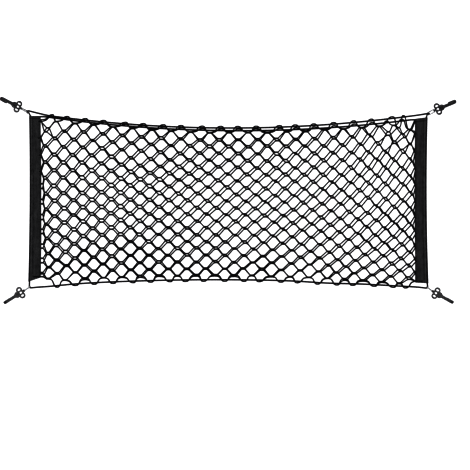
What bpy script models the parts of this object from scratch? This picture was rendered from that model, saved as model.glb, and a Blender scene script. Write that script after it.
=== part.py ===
"""Envelope cargo net for a car boot, laid out flat on the floor.

Two layers of diamond mesh run between two folded fabric sleeves. An elastic cord goes right
round the net, through both sleeve folds, and a second one edges the open side of the front
layer. A wire clip and a moulded hook sit at each corner.

Metres, +Z up. X runs along the net and Y across it, the floor is Z = 0, and the origin is on
the floor under the middle of the whole outline, hooks included. The sizes below are from the
middle of the mesh, which is OUTLINE_CENTRE away from it.
"""
import math
from collections import namedtuple

import bmesh
import bpy
from mathutils import Matrix, Vector

MM = 0.001

OUTLINE_CENTRE = (0.18 * MM, -1.64 * MM)    # middle of the outline, from the mesh's middle

# ---- Clearances and stock ----
GAP = 0.3 * MM                  # between pieces that touch
NET_THICK = 2.0 * MM            # one layer of mesh
REAR_Z = 0.0                    # underside of the rear layer, on the floor
REAR_LIFT = 1.3 * MM            # how far the rear layer rises to enter a sleeve
FRONT_Z = 3.6 * MM              # underside of the front layer
CORD_RADIUS = 1.5 * MM
CLOTH_THICK = 1.0 * MM

# ---- The mesh as it lies ----
# The knots make a lattice: HALF_COLUMNS half meshes along and HALF_ROWS half meshes across.
HALF_COLUMNS = 41
HALF_ROWS = 23
FIRST_COLUMN = -20              # the column just inside the left sleeve
# Where the top, middle and bottom rows of knots lie at five stations along the net (mm).
#   u,   x_top, x_mid, x_low, y_top, y_mid, y_low
LATTICE_STATIONS = (
    (-1.0, -440, -441, -427, 203, -13, -203),
    (-0.5, -213, -219, -217, 180, -7, -191),
    (0.0, 16, 8, 3, 169, -10, -188),
    (0.5, 237, 232, 222, 178, -16, -194),
    (1.0, 440, 441, 431, 198, -31, -208),
)
# How far the front layer lies from the rear one, at the ends and the middle (mm).
#   u,  dx_top, dx_mid, dx_low, dy_top, dy_mid, dy_low
LAYER_SHIFT_STATIONS = (
    (-1.0, 0.9, 1.8, -1.4, -1.8, -5.5, -2.3),
    (0.0, 2.3, 4.6, 1.8, -3.5, -3.7, -1.6),
    (1.0, 6.4, 6.9, 3.2, -4.8, -5.1, -2.3),
)
GAP_STEP = 2                    # the gaps are cut at this many times the mesh's own pitch
GAP_SCALE = 0.93                # what is left between two gaps is one strand wide
# One gap's outline in units of its half width and half height: pointed ends, blunt top.
GAP_OUTLINE = ((1.0, 0.0), (0.12, 0.9), (-0.12, 0.9), (-1.0, 0.0), (-0.12, -0.9), (0.12, -0.9))
GAP_MIN_AREA = 60 * MM * MM     # a smaller cut-off corner of a gap isn't cut
EDGE_BAND = 3.0 * MM            # mesh left along an edge
MIDDLE_STATIONS = 26            # points along an edge of the net, and at each of its ends
END_STATIONS = 12
NET_END_X = 450 * MM            # where the net ends inside a sleeve
GAP_END_X = 433 * MM            # where the cut gaps end, just inside a sleeve
PINCH_START_X = 394 * MM        # from here the rear layer's top edge draws in to the mouth cord
PINCH_END_X = 412 * MM
LIFT_END_X = 427 * MM           # the rear layer has reached its height in the sleeve here
NET_BOTTOM_IN_SLEEVE = {-1: -178.5 * MM, 1: -186.5 * MM}

# ---- Cords ----
EDGE_SPAN = 455 * MM            # half the edge cord's length between the corner clips
RUN_INSET = 18 * MM             # a long run ends this far before its clip
RUN_POINTS = 9
TOP_MIDDLE_Y = 168 * MM
TOP_RISE = 32 * MM              # the top run rises this much to its ends
BOTTOM_MIDDLE_Y = -182.5 * MM
BOTTOM_DROP = 18 * MM
BOTTOM_TILT = 2 * MM            # the bottom run is this much lower at its right end
MOUTH_DROP = 6 * MM             # the mouth cord lies this far below the top run
MOUTH_DROP_TILT = 2 * MM
MOUTH_DROP_ENDS = 3.5 * MM
MOUTH_END_X = 445 * MM          # the mouth cord ends inside the sleeves
MOUTH_Z = 3.85 * MM
CORD_FLOOR_Z = 1.9 * MM         # height of the edge cord's centre on the floor
CORD_SIDES = 2                  # bevel resolution, which gives eight sides

# ---- Sleeves ----
FOLD_RADIUS = 2.95 * MM         # of the cloth's middle, round the fold
LEAF_STEPS = 2
FOLD_STEPS = 3                  # in each quarter of the fold
SLEEVE_STEPS = 14
# Fold and inner edge of each sleeve at its top, middle and bottom (mm), and its four corners.
#   side: (fold_top, fold_mid, fold_low), (inner_top, inner_mid, inner_low)
SLEEVE_EDGES = {
    -1: ((-457.0, -456.8, -459.5), (-431.0, -430.5, -434.0)),
    1: ((457.5, 456.5, 461.5), (431.0, 432.5, 433.8)),
}
#   side: (y_top_fold, y_top_inner, y_bottom_fold, y_bottom_inner)
SLEEVE_ENDS = {-1: (194.0, 194.0, -187.7, -180.8), 1: (190.4, 188.8, -191.0, -189.3)}
FOLD_CORD_INSET = 0.5 * MM      # the cord lies this far into the fold from its centre

# ---- Clips ----
WIRE_RADIUS = 0.75 * MM
CLIP_HALF_WIDTH = 3.4 * MM      # middle of the wire
CLIP_CORNER = 1.1 * MM
CLIP_CORNER_STEPS = 3
CLIP_LENGTH = 17.2 * MM         # from the bar in the hook to the bar in the cord
CROOK_REACH = 3.2 * MM          # from the clip's bar to the cord that turns round it
CROOK_SIDE = 2.9 * MM
CROOK_LEAD = 0.5 * MM
CROOK_STRETCH = 8.0 * MM        # shorter stretches of the cord take a finer curve
CLIP_Z = 4.5 * MM               # of the bar in the cord's crook
# At each corner: the clip's bar in the hook (mm), the way the clip and the hook point, and
# how far each is rolled about its own length (degrees).
Corner = namedtuple("Corner", "name x y clip_yaw hook_yaw clip_roll hook_roll")
CORNERS = (
    Corner("upper_left", -474.7, 210.7, 152.6, 152.3, 38, 12),
    Corner("upper_right", 475.2, 203.8, 21.5, 25.0, 65, 12),
    Corner("lower_left", -469.5, -209.1, 208.6, 212.7, 5, -3),
    Corner("lower_right", 470.1, -209.1, -31.5, -29.8, 5, 4),
)

# ---- Hooks, in their own frame: X from the boss to the bend, Z up through the head ----
HOOK_TILT = 15.2                # degrees: the bend stands off the floor on the turned-back leg
BOSS_RADIUS = 2.1 * MM
BOSS_BORE = 1.05 * MM
NECK_HALF = 1.6 * MM
HEAD_THICK = 3.6 * MM
EYE_X = 8.8 * MM
EYE_RADIUS = 2.7 * MM
LOBE_Y = 6.9 * MM
LOBE_RADIUS = 5.3 * MM
SLOT_Y = 7.6 * MM
SLOT_HALF_LENGTH = 3.0 * MM
SLOT_HALF_WIDTH = 1.4 * MM
SHOULDER_X = 16.0 * MM
SHOULDER_HALF = 7.0 * MM
SHOULDER_END_X = 28.5 * MM
SHANK_START_X = 24.0 * MM
SHANK_HALF = 3.4 * MM
SHANK_THICK = 4.0 * MM
HOOK_GAP = 8.5 * MM             # what the hook can take
LEG_THICK = 3.5 * MM
BEND_END_X = 55.3 * MM
LEG_END_X = 34.8 * MM
ARC_STEPS = 10

BLACK_YARN = (0.012, 0.012, 0.013, 1.0)
BLACK_CLOTH = (0.016, 0.016, 0.017, 1.0)
BLACK_PLASTIC = (0.020, 0.020, 0.021, 1.0)
STEEL = (0.62, 0.62, 0.63, 1.0)


# ---- Small helpers ----

def clear_scene():
    for obj in list(bpy.data.objects):
        bpy.data.objects.remove(obj, do_unlink=True)


def new_collection(name):
    collection = bpy.data.collections.new(name)
    bpy.context.scene.collection.children.link(collection)
    return collection


def material(name, colour, roughness, metallic=0.0):
    mat = bpy.data.materials.new(name)
    mat.use_nodes = True
    shader = mat.node_tree.nodes["Principled BSDF"]
    shader.inputs["Base Color"].default_value = colour
    shader.inputs["Roughness"].default_value = roughness
    shader.inputs["Metallic"].default_value = metallic
    return mat


def smooth_step(value, start, end):
    t = min(max((value - start) / (end - start), 0.0), 1.0)
    return t * t * (3 - 2 * t)


def through(samples, t):
    """The polynomial through evenly spaced samples on -1..1, read at t."""
    last = len(samples) - 1
    knots = [-1 + 2 * k / last for k in range(last + 1)]
    total = 0.0
    for k, value in enumerate(samples):
        weight = 1.0
        for m, knot in enumerate(knots):
            if m != k:
                weight *= (t - knot) / (knots[k] - knot)
        total += weight * value
    return total


def read_stations(stations, u, v):
    """The pair (first three columns, last three columns) of a station table at u, v."""
    columns = [through([row[c] for row in stations], u) for c in range(1, 7)]
    return through(columns[:3], v), through(columns[3:], v)


def arc(centre, radius, start, end, steps):
    """Points on a circle, from start to end degrees."""
    points = []
    for k in range(steps + 1):
        angle = math.radians(start + (end - start) * k / steps)
        points.append((centre[0] + radius * math.cos(angle), centre[1] + radius * math.sin(angle)))
    return points


def smooth_route(points, steps):
    """A Catmull-Rom curve through the points, with the given steps in each stretch."""
    route = []
    for k in range(1, len(points) - 2):
        p0, p1, p2, p3 = (Vector(points[k + m]) for m in (-1, 0, 1, 2))
        for n in range(steps[k - 1]):
            t = n / steps[k - 1]
            route.append(0.5 * (2 * p1 + (p2 - p0) * t + (2 * p0 - 5 * p1 + 4 * p2 - p3) * t * t
                                + (3 * p1 - p0 - 3 * p2 + p3) * t ** 3))
    return route


def flat_outline(name, loops, thick, collection):
    """A flat plate of the first loop, with the other loops cut out, as a mesh about Z = 0."""
    curve = bpy.data.curves.new(name, "CURVE")
    curve.dimensions = "2D"
    curve.fill_mode = "BOTH"
    curve.extrude = thick / 2
    for loop in loops:
        spline = curve.splines.new("POLY")
        spline.points.add(len(loop) - 1)
        for point, (x, y) in zip(spline.points, loop):
            point.co = (x, y, 0, 1)
        spline.use_cyclic_u = True
    outline = bpy.data.objects.new(name, curve)
    collection.objects.link(outline)
    evaluated = outline.evaluated_get(bpy.context.evaluated_depsgraph_get())
    mesh = bpy.data.meshes.new_from_object(evaluated)
    bpy.data.objects.remove(outline, do_unlink=True)
    bm = bmesh.new()
    bm.from_mesh(mesh)
    bmesh.ops.remove_doubles(bm, verts=bm.verts, dist=0.00001)
    bmesh.ops.recalc_face_normals(bm, faces=bm.faces)
    bm.to_mesh(mesh)
    bm.free()
    mesh.name = name
    return mesh


def add_object(name, data, collection, mat=None):
    obj = bpy.data.objects.new(name, data)
    collection.objects.link(obj)
    if mat:
        data.materials.append(mat)
    return obj


def hide_cutter(obj):
    obj.hide_render = True
    obj.display_type = "WIRE"


def cord_object(name, points, radius, cyclic, mat, collection):
    curve = bpy.data.curves.new(name, "CURVE")
    curve.dimensions = "3D"
    curve.bevel_depth = radius
    curve.bevel_resolution = CORD_SIDES
    curve.use_fill_caps = True
    spline = curve.splines.new("POLY")
    spline.points.add(len(points) - 1)
    for point, co in zip(spline.points, points):
        point.co = (co[0], co[1], co[2], 1)
    spline.use_cyclic_u = cyclic
    spline.use_smooth = True
    return add_object(name, curve, collection, mat)


# ---- Edges of the net ----

def edge_top_y(x):
    return TOP_MIDDLE_Y + TOP_RISE * (x / EDGE_SPAN) ** 2


def edge_bottom_y(x):
    t = x / EDGE_SPAN
    return BOTTOM_MIDDLE_Y - BOTTOM_TILT * t - BOTTOM_DROP * t * t


def mouth_y(x):
    t = x / EDGE_SPAN
    return edge_top_y(x) - MOUTH_DROP - MOUTH_DROP_TILT * t - MOUTH_DROP_ENDS * t * t


def net_top_y(x, layer):
    """The mesh's top edge, just under the cord that it hangs on."""
    under_mouth = mouth_y(x) - CORD_RADIUS - GAP
    if layer == "front":
        return under_mouth
    under_edge = edge_top_y(x) - CORD_RADIUS - GAP
    return under_edge + (under_mouth - under_edge) * smooth_step(abs(x), PINCH_START_X, PINCH_END_X)


def net_bottom_y(x):
    above_edge = edge_bottom_y(x) + CORD_RADIUS + GAP
    in_sleeve = NET_BOTTOM_IN_SLEEVE[-1 if x < 0 else 1]
    return above_edge + (in_sleeve - above_edge) * smooth_step(abs(x), PINCH_END_X, LIFT_END_X)


# ---- The two layers of mesh ----

def knot_place(column, row, layer):
    """Where the lattice point of this column and row lies, in one layer."""
    u = 2 * (column - FIRST_COLUMN) / HALF_COLUMNS - 1
    v = 2 * row / HALF_ROWS - 1
    x, y = read_stations(LATTICE_STATIONS, u, v)
    dx, dy = read_stations(LAYER_SHIFT_STATIONS, u, v)
    side = 0.5 if layer == "front" else -0.5
    return Vector(((x + side * dx) * MM, (y + side * dy) * MM))


def keep_side(loop, point, inward):
    """The part of a convex loop on the inward side of the line through point."""
    kept = []
    for k, end in enumerate(loop):
        start = loop[k - 1]
        before = (start - point).dot(inward)
        after = (end - point).dot(inward)
        if (before < 0) != (after < 0):
            kept.append(start.lerp(end, before / (before - after)))
        if after >= 0:
            kept.append(end)
    return kept


def keep_inside_edge(loop, edge, down):
    """Cut a gap back from a curved edge of the net; down is -1 for the top edge, +1 below."""
    low_x = min(p.x for p in loop)
    high_x = max(p.x for p in loop)
    start = Vector((low_x, edge(low_x)))
    end = Vector((high_x, edge(high_x)))
    bulge = 0.0
    for k in range(1, 8):
        on_line = start.lerp(end, k / 8)
        bulge = max(bulge, (edge(on_line.x) - on_line.y) * down)
    inward = Vector((start.y - end.y, end.x - start.x)).normalized() * down
    return keep_side(loop, start + inward * (EDGE_BAND + bulge), inward)


def loop_area(loop):
    return 0.5 * abs(sum(a.cross(b) for a, b in zip(loop, loop[1:] + loop[:1])))


def gap_loops(layer):
    """The gaps to cut: each is centred on a knot and spans GAP_STEP meshes each way."""
    loops = []
    for row in range(0, HALF_ROWS, GAP_STEP):
        first = FIRST_COLUMN - 3 + (1 + row) % 4
        for column in range(first, FIRST_COLUMN + HALF_COLUMNS + 4, 2 * GAP_STEP):
            reach = GAP_STEP * GAP_SCALE
            loop = [knot_place(column + a * reach, row + b * reach, layer) for a, b in GAP_OUTLINE]
            loop = keep_side(loop, Vector((-GAP_END_X, 0)), Vector((1, 0)))
            loop = keep_side(loop, Vector((GAP_END_X, 0)), Vector((-1, 0)))
            if len(loop) > 2:
                loop = keep_inside_edge(loop, lambda x: net_top_y(x, layer), -1)
            if len(loop) > 2:
                loop = keep_inside_edge(loop, net_bottom_y, 1)
            if len(loop) > 2 and loop_area(loop) > GAP_MIN_AREA:
                loops.append([(p.x, p.y) for p in loop])
    return loops


def net_outline(layer):
    wide = PINCH_START_X
    ends = [wide + (NET_END_X - wide) * k / END_STATIONS for k in range(1, END_STATIONS + 1)]
    middle = [wide * (2 * k / MIDDLE_STATIONS - 1) for k in range(MIDDLE_STATIONS + 1)]
    stations = [-x for x in reversed(ends)] + middle + ends
    top = [(x, net_top_y(x, layer)) for x in stations]
    bottom = [(x, net_bottom_y(x)) for x in reversed(stations)]
    return bottom + top


def make_net(layer, base_z, lift, mat, collection):
    name = "net_" + layer
    mesh = flat_outline(name, [net_outline(layer)] + gap_loops(layer), NET_THICK, collection)
    for vertex in mesh.vertices:
        rise = lift * smooth_step(abs(vertex.co.x), PINCH_END_X + 2 * MM, LIFT_END_X)
        vertex.co.z += base_z + NET_THICK / 2 + rise
    return add_object(name, mesh, collection, mat)


# ---- Sleeves ----

def sleeve_place(side, across, along):
    """A point of the sleeve's edge lines: across 0 at the fold, 1 at the inner edge."""
    fold, inner = SLEEVE_EDGES[side]
    top_fold, top_inner, low_fold, low_inner = SLEEVE_ENDS[side]
    x = through(fold, 1 - 2 * along) * (1 - across) + through(inner, 1 - 2 * along) * across
    top = top_fold + (top_inner - top_fold) * across
    low = low_fold + (low_inner - low_fold) * across
    return Vector((x * MM, (low + (top - low) * along) * MM))


def fold_cord_x(side, y):
    """The edge cord's place in the fold of a sleeve, at this y."""
    low = sleeve_place(side, 0, 0).y
    top = sleeve_place(side, 0, 1).y
    fold = sleeve_place(side, 0, (y - low) / (top - low)).x
    return fold - side * (CLOTH_THICK / 2 + FOLD_RADIUS - FOLD_CORD_INSET)


def sleeve_section():
    """The folded cloth in section: (inset from the fold, share of the leaf, height)."""
    middle = CLOTH_THICK / 2 + FOLD_RADIUS
    leaf = [(middle, 1 - k / LEAF_STEPS) for k in range(LEAF_STEPS)]
    section = [(inset, share, CLOTH_THICK / 2) for inset, share in leaf]
    for k in range(2 * FOLD_STEPS + 1):
        angle = math.pi * k / (2 * FOLD_STEPS)
        inset = middle - FOLD_RADIUS * math.sin(angle)
        section.append((inset, 0.0, middle - FOLD_RADIUS * math.cos(angle)))
    section += [(inset, share, middle + FOLD_RADIUS) for inset, share in reversed(leaf)]
    return section


def make_sleeve(side, name, mat, collection):
    """One strip of cloth folded round the cord, as an open sheet given its thickness."""
    section = sleeve_section()
    bm = bmesh.new()
    bmesh.ops.create_grid(bm, x_segments=len(section) - 1, y_segments=SLEEVE_STEPS, size=0.5)
    bm.verts.ensure_lookup_table()
    for vertex in bm.verts:
        station = round((vertex.co.x + 0.5) * (len(section) - 1))
        along = vertex.co.y + 0.5
        inset, share, height = section[station]
        width = (sleeve_place(side, 1, along) - sleeve_place(side, 0, along)).length
        across = (inset + share * (width - inset)) / width
        place = sleeve_place(side, across, along)
        vertex.co = (place.x, place.y, height)
    mesh = bpy.data.meshes.new(name)
    bm.to_mesh(mesh)
    bm.free()
    sleeve = add_object(name, mesh, collection, mat)
    shell = sleeve.modifiers.new("cloth", "SOLIDIFY")
    shell.thickness = CLOTH_THICK
    shell.offset = 0
    return sleeve


# ---- Clips ----

def clip_frame(corner):
    """The clip's bar in the cord, and its length, width and normal directions."""
    angle = math.radians(corner.clip_yaw)
    length = Vector((math.cos(angle), math.sin(angle), 0))
    across = Vector((-length.y, length.x, 0))
    if across.x * corner.x > 0:
        across = -across
    turn = math.radians(corner.clip_roll)
    up = Vector((0, 0, 1))
    width = up * math.cos(turn) - across * math.sin(turn)
    normal = -across * math.cos(turn) - up * math.sin(turn)
    hook_bar = Vector((corner.x * MM, corner.y * MM, 0))
    cord_bar = hook_bar - length * CLIP_LENGTH
    cord_bar.z = CLIP_Z
    return cord_bar, length, width, normal


def clip_to_hook(corner, hook_z):
    """Length direction and length of the clip once its far bar is at the hook's height."""
    cord_bar, length, _, _ = clip_frame(corner)
    far = Vector((corner.x * MM, corner.y * MM, hook_z))
    return far, (far - cord_bar).normalized()


def make_clip(corner, hook_z, mat, collection):
    cord_bar, _, width, _ = clip_frame(corner)
    far, length = clip_to_hook(corner, hook_z)
    half = (far - cord_bar).length / 2
    middle = (far + cord_bar) / 2
    points = []
    for sign_l, sign_w, start in ((1, 1, 0), (-1, 1, 90), (-1, -1, 180), (1, -1, 270)):
        centre = (sign_l * (half - CLIP_CORNER), sign_w * (CLIP_HALF_WIDTH - CLIP_CORNER))
        for a, b in arc(centre, CLIP_CORNER, start, start + 90, CLIP_CORNER_STEPS):
            points.append(middle + length * a + width * b)
    return cord_object("clip_" + corner.name, points, WIRE_RADIUS, True, mat, collection)


# ---- Hooks ----

def head_outline():
    """Boss neck, two side rings and the shoulder, seen from above."""
    lobe = (EYE_X, LOBE_Y)
    half = [(0.0, NECK_HALF), (EYE_X - LOBE_RADIUS, NECK_HALF)]
    half += arc(lobe, LOBE_RADIUS, 205, -25, ARC_STEPS)
    half += [(SHOULDER_X, SHOULDER_HALF), (SHOULDER_END_X, SHANK_HALF - 0.4 * MM)]
    return half + [(x, -y) for x, y in reversed(half)]


def slot_outline(side):
    left = arc((EYE_X - SLOT_HALF_LENGTH + SLOT_HALF_WIDTH, SLOT_Y), SLOT_HALF_WIDTH, 270, 90, 4)
    right = arc((EYE_X + SLOT_HALF_LENGTH - SLOT_HALF_WIDTH, SLOT_Y), SLOT_HALF_WIDTH, 90, -90, 4)
    return [(x, side * y) for x, y in left + right]


def bend_outline():
    """Shank, bend and turned-back leg, seen from the side: (x, z)."""
    top = SHANK_THICK / 2
    bottom = -SHANK_THICK / 2 - HOOK_GAP - LEG_THICK
    outer = (top - bottom) / 2
    inner = HOOK_GAP / 2
    outer_centre = (BEND_END_X - outer, (top + bottom) / 2)
    inner_centre = (BEND_END_X - outer, -SHANK_THICK / 2 - inner)
    loop = [(SHANK_START_X, top)]
    loop += arc(outer_centre, outer, 90, -90, 2 * ARC_STEPS)
    loop += [(LEG_END_X + 1.5 * MM, bottom), (LEG_END_X, bottom + 1.2 * MM)]
    loop += [(LEG_END_X, bottom + LEG_THICK - 0.6 * MM), (LEG_END_X + 1 * MM, bottom + LEG_THICK)]
    loop += arc(inner_centre, inner, -90, 90, ARC_STEPS)
    loop += [(SHANK_START_X, -SHANK_THICK / 2)]
    return loop


def hook_turn(corner):
    yaw = Matrix.Rotation(math.radians(corner.hook_yaw), 4, "Z")
    tilt = Matrix.Rotation(math.radians(-HOOK_TILT), 4, "Y")
    roll = Matrix.Rotation(math.radians(corner.hook_roll), 4, "X")
    return yaw @ tilt @ roll


def hook_height(corner):
    """Height of the boss when the turned-back leg's end touches the floor."""
    turn = hook_turn(corner)
    lowest = 0.0
    for x, z in bend_outline():
        for y in (-SHANK_HALF, SHANK_HALF):
            lowest = min(lowest, (turn @ Vector((x, y, z))).z)
    return -lowest


def make_hook(corner, mat, collection, cutters):
    name = "hook_" + corner.name
    hook_z = hook_height(corner)
    place = Matrix.Translation((corner.x * MM, corner.y * MM, hook_z)) @ hook_turn(corner)
    eye = arc((EYE_X, 0), EYE_RADIUS, 360, 360 / ARC_STEPS, ARC_STEPS - 1)
    loops = [head_outline(), eye, slot_outline(1), slot_outline(-1)]
    hook = add_object(name, flat_outline(name, loops, HEAD_THICK, collection), collection, mat)
    hook.matrix_world = place

    bend_mesh = flat_outline(name + "_bend", [bend_outline()], 2 * SHANK_HALF, collection)
    bend = add_object(name + "_bend", bend_mesh, cutters)
    bend.matrix_world = place @ Matrix.Rotation(math.radians(90), 4, "X")

    boss_mesh = bpy.data.meshes.new(name + "_boss")
    bm = bmesh.new()
    bmesh.ops.create_uvsphere(bm, u_segments=12, v_segments=8, radius=BOSS_RADIUS)
    bm.to_mesh(boss_mesh)
    bm.free()
    boss = add_object(name + "_boss", boss_mesh, cutters)
    boss.matrix_world = place

    _, _, width, _ = clip_frame(corner)
    bore_mesh = bpy.data.meshes.new(name + "_bore")
    bm = bmesh.new()
    bmesh.ops.create_cone(bm, cap_ends=True, segments=10, radius1=BOSS_BORE, radius2=BOSS_BORE,
                          depth=4 * BOSS_RADIUS)
    bm.to_mesh(bore_mesh)
    bm.free()
    bore = add_object(name + "_bore", bore_mesh, cutters)
    turn = width.to_track_quat("Z", "Y").to_matrix().to_4x4()
    bore.matrix_world = Matrix.Translation(place.translation) @ turn

    for tool, operation in ((bend, "UNION"), (boss, "UNION"), (bore, "DIFFERENCE")):
        hide_cutter(tool)
        step = hook.modifiers.new(tool.name, "BOOLEAN")
        step.operation = operation
        step.object = tool
    return hook_z


# ---- Cords ----

def crook_points(corner):
    """The edge cord's turn round the clip's bar, from its long run to its sleeve."""
    bar, length, _, normal = clip_frame(corner)
    before = bar + length * CROOK_LEAD - normal * CROOK_SIDE
    after = bar + length * CROOK_LEAD + normal * CROOK_SIDE
    return [before, bar + length * CROOK_REACH, after]


def sleeve_run(side):
    """The edge cord's stretch in a sleeve's fold, from top to bottom."""
    top = sleeve_place(side, 0, 1).y
    low = sleeve_place(side, 0, 0).y
    fold_z = CLOTH_THICK / 2 + FOLD_RADIUS
    run = []
    for k in range(7):
        y = top + (low - top) * k / 6
        run.append(Vector((fold_cord_x(side, y), y, fold_z)))
    return run


def long_run(edge, start, end):
    run = []
    for k in range(RUN_POINTS):
        x = start + (end - start) * k / (RUN_POINTS - 1)
        run.append(Vector((x, edge(x), CORD_FLOOR_Z)))
    return run


def make_edge_cord(mat, collection):
    """One closed round: top run, right sleeve, bottom run, left sleeve, with four crooks."""
    upper_left, upper_right, lower_left, lower_right = CORNERS
    reach = EDGE_SPAN - RUN_INSET
    points = long_run(edge_top_y, -reach, reach)
    points += crook_points(upper_right) + sleeve_run(1)
    points += list(reversed(crook_points(lower_right)))
    points += long_run(edge_bottom_y, reach, -reach)
    points += crook_points(lower_left) + list(reversed(sleeve_run(-1)))
    points += list(reversed(crook_points(upper_left)))
    closed = [points[-1]] + points + points[:2]
    steps = []
    for a, b in zip(closed[1:], closed[2:-1]):
        steps.append(3 if (b - a).length < CROOK_STRETCH else 2)
    return cord_object("edge_cord", smooth_route(closed, steps), CORD_RADIUS, True, mat, collection)


def make_mouth_cord(mat, collection):
    points = []
    for k in range(-1, 26):
        x = MOUTH_END_X * (2 * k / 24 - 1)
        points.append(Vector((x, mouth_y(x), MOUTH_Z)))
    route = smooth_route(points, [1] * (len(points) - 3)) + [points[-2]]
    return cord_object("mouth_cord", route, CORD_RADIUS, False, mat, collection)


# ---- The whole net ----

def main():
    clear_scene()
    parts = new_collection("cargo_net")
    cutters = new_collection("cutters")

    yarn = material("elastic_yarn", BLACK_YARN, 0.75)
    make_net("rear", REAR_Z, REAR_LIFT, yarn, parts)
    make_net("front", FRONT_Z, 0.0, yarn, parts)

    cord = material("elastic_cord", BLACK_YARN, 0.7)
    make_edge_cord(cord, parts)
    make_mouth_cord(cord, parts)

    cloth = material("sleeve_cloth", BLACK_CLOTH, 0.85)
    make_sleeve(-1, "sleeve_left", cloth, parts)
    make_sleeve(1, "sleeve_right", cloth, parts)

    plastic = material("hook_plastic", BLACK_PLASTIC, 0.45)
    steel = material("clip_steel", STEEL, 0.3, 1.0)
    for corner in CORNERS:
        hook_z = make_hook(corner, plastic, parts, cutters)
        make_clip(corner, hook_z, steel, parts)

    for obj in list(parts.objects) + list(cutters.objects):
        obj.location.x -= OUTLINE_CENTRE[0]
        obj.location.y -= OUTLINE_CENTRE[1]


main()
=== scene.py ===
# %% [markdown]
# # A cargo net for a car boot, made in Blender
# The net is an envelope: two layers of black knotted mesh between two folded cloth sleeves. An
# elastic cord runs right round it, a second one edges the mouth, and a wire clip and a moulded
# hook hang at each corner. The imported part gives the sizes. Here each piece gets its real surface:
# round yarn with tied joints, sewn cloth, bent wire and moulded plastic.

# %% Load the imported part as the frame
import random
from math import cos, exp, hypot, pi, prod, radians, sin, sqrt

import bpy
from mathutils import Matrix, Vector
from mathutils.geometry import interpolate_bezier


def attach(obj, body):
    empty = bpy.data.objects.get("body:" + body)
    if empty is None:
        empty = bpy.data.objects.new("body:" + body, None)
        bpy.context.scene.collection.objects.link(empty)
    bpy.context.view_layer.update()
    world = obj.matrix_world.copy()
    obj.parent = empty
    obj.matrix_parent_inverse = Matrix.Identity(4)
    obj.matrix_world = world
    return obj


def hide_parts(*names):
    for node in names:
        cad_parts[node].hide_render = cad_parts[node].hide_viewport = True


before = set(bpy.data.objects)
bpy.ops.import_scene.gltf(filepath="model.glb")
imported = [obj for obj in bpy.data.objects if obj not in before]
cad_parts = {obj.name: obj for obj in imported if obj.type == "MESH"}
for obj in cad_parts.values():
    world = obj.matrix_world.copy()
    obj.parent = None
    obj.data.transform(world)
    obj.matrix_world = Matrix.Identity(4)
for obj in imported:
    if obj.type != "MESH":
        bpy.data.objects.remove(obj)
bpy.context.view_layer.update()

scene = bpy.context.scene
bpy.ops.object.select_all(action="DESELECT")
print("nodes:", sorted(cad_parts))

# %% [markdown]
# ## Working in millimetres
# The net is described in millimetres from the middle of its mesh. `place` turns such a point into
# the part's own frame: metres, from the floor under the middle of the outline, hooks included.

# %% Millimetres from the middle of the mesh
MM = 0.001
OUTLINE_CENTRE = Vector((0.18, -1.64, 0.0))  # middle of the outline, from the mesh's middle
HALF_SPAN = 455.0  # from the middle to the corner clips


def place(x, y, z):
    return (Vector((x, y, z)) - OUTLINE_CENTRE) * MM


def ease(value, start, end):
    t = min(max((value - start) / (end - start), 0.0), 1.0)
    return t * t * (3 - 2 * t)


def through(samples, t):
    """The polynomial through samples spaced evenly on -1..1, read at t."""
    knots = [-1 + 2 * k / (len(samples) - 1) for k in range(len(samples))]
    weights = [prod((t - other) / (knot - other) for other in knots if other != knot)
               for knot in knots]
    return sum(weight * value for weight, value in zip(weights, samples))


print("the mesh's middle is at", [round(v, 5) for v in place(0, 0, 0)])

# %% [markdown]
# ## The camera
# The net is photographed from straight above with a long lens, so the camera looks down from
# 6 m with a 200 mm lens. That takes in a square a little over a metre wide.

# %% Camera
CAMERA_X, CAMERA_Y = 16.1, -79.8  # the picture's middle, from the mesh's middle
CAMERA_HEIGHT = 6.0  # metres

bpy.ops.object.camera_add(location=place(CAMERA_X, CAMERA_Y, 0) + Vector((0, 0, CAMERA_HEIGHT)))
camera = bpy.context.object
camera.name = "camera"
camera.data.sensor_width = 36
camera.data.lens = 200
camera.data.clip_end = 50
scene.camera = camera
print("the view is", round(CAMERA_HEIGHT * 36 / 200, 3), "m wide")

# %% [markdown]
# ## Floor and light
# The photo's ground is pure white, so nearly all of the floor's white is a glow. The sky can then
# be dim, which keeps the yarn black. A wide lamp overhead puts a soft sheen on what faces up, and
# two beside the net light the edges. The Standard view keeps white white, and its low gamma gives
# the photo's hard contrast.

# %% Floor, sky and lamps
FLOOR_SIZE = 30.0
FLOOR_GLOW = 0.90
SKY_STRENGTH = 0.45
VIEW_GAMMA = 0.5
VIEW_LOOK = "Medium High Contrast"
FILTER_WIDTH = 0.8  # pixels, a little narrower than usual, for crisp yarn
SIDE_LAMP_SIZE, SIDE_LAMP_POWER = 2.4, 36.0
TOP_LAMP_SIZE, TOP_LAMP_POWER = 2.6, 90.0

view = scene.view_settings
view.view_transform = "Standard"
view.gamma = VIEW_GAMMA
view.look = VIEW_LOOK
scene.cycles.pixel_filter_width = FILTER_WIDTH


def set_inputs(node, **values):
    """Give a node's inputs their values; an underscore stands for a space in a label."""
    for label, value in values.items():
        node.inputs[label.replace("_", " ")].default_value = value


def new_material(name, **values):
    material = bpy.data.materials.new(name)
    material.use_nodes = True
    shader = material.node_tree.nodes["Principled BSDF"]
    set_inputs(shader, **values)
    return material, material.node_tree, shader


bpy.ops.mesh.primitive_plane_add(size=FLOOR_SIZE)
floor = bpy.context.object
floor.name = "floor"
floor_paint = new_material("floor_paint", Base_Color=(0.08, 0.08, 0.082, 1), Roughness=0.9,
                           Specular_IOR_Level=0.1, Emission_Color=(0.99, 0.99, 1.0, 1),
                           Emission_Strength=FLOOR_GLOW)[0]
floor.data.materials.append(floor_paint)

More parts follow.
